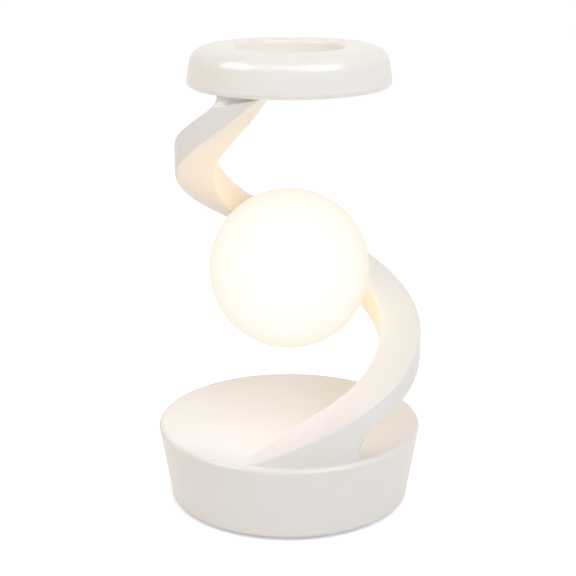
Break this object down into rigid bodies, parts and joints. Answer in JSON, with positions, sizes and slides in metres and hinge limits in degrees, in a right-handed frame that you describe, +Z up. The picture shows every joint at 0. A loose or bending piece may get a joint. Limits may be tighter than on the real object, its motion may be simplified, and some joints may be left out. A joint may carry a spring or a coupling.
{
  "type": "spiral night light",
  "caption": "Night light with a glowing globe held inside a spiral ribbon arm that climbs from a dished base on a turntable foot to a hollow ring; push button at the back.",
  "frame": {"origin": "centre of the foot pad's lower face, on the axis that the base turns round", "axes": "+Z up along the turning axis, +Y to the back with the socket and button, +X to the right"},
  "size_m": [0.125, 0.125, 0.215],
  "materials": {
    "soft_pad": "matte",
    "foot_grey": "matte",
    "ballast_iron": "rough",
    "steel": "satin",
    "bearing_steel": "polished",
    "cage_plastic": "matte",
    "cover_white": "matte",
    "base_white": "satin",
    "cell_foil": "satin",
    "wire_red": "satin",
    "board_green": "satin",
    "socket_steel": "satin",
    "switch_black": "matte",
    "switch_white": "matte",
    "button_white": "satin",
    "arm_white": "satin",
    "anchor_tan": "matte",
    "wire_white": "satin",
    "ring_white": "glossy",
    "globe_glow": "satin, translucent milk white, lit from inside",
    "cap_white": "matte",
    "board_white": "matte",
    "chip_yellow": "satin"
  },
  "bodies": {
    "foot": {"foot_pad": "soft_pad", "foot_plate": "foot_grey", "ballast_disc": "ballast_iron", "ballast_screws": "steel", "spindle": "steel", "spindle_base_screw": "steel", "spindle_washer": "steel", "spindle_top_screw": "steel", "bearing_inner_ring": "bearing_steel"},
    "ball_cage": {"bearing_cage": "cage_plastic", "bearing_balls": "bearing_steel"},
    "lamp": {"bearing_outer_ring": "bearing_steel", "bearing_retainer": "steel", "retainer_screws": "steel", "base_cover": "cover_white", "cover_screws": "steel", "bowl_housing": "base_white", "battery": "cell_foil", "battery_pad": "soft_pad", "battery_leads": "wire_red", "control_board": "board_green", "board_screws": "steel", "usb_socket": "socket_steel", "tact_switch": "switch_black", "spiral_arm": "arm_white", "arm_cover": "arm_white", "arm_anchor": "anchor_tan", "arm_screws": "steel", "head_anchor": "anchor_tan", "head_screws": "steel", "led_wires": "wire_white", "ring_shell": "ring_white", "ring_under_cover": "ring_white", "ring_screws": "steel", "globe_diffuser": "globe_glow", "globe_cap": "cap_white", "globe_stem": "steel", "stem_nut": "steel", "led_board": "board_white", "led_chips": "chip_yellow", "led_screws": "steel"},
    "button": {"power_button": "button_white", "switch_plunger": "switch_white"}
  },
  "joints": [
    {"name": "spin", "type": "hinge", "parent": "foot", "child": "lamp", "pos_m": [0, 0, 0.0115], "axis": [0, 0, 1], "continuous": true},
    {"name": "cage_spin", "type": "hinge", "parent": "foot", "child": "ball_cage", "pos_m": [0, 0, 0.0115], "axis": [0, 0, 1], "continuous": true},
    {"name": "button_press", "type": "slide", "parent": "lamp", "child": "button", "axis": [0, -1, 0], "range_m": [0, 0.0008], "stiffness_N_per_m": 1500}
  ],
  "couplings": [
    {"joint": "cage_spin", "follows": "spin", "ratio": 0.6323}
  ]
}
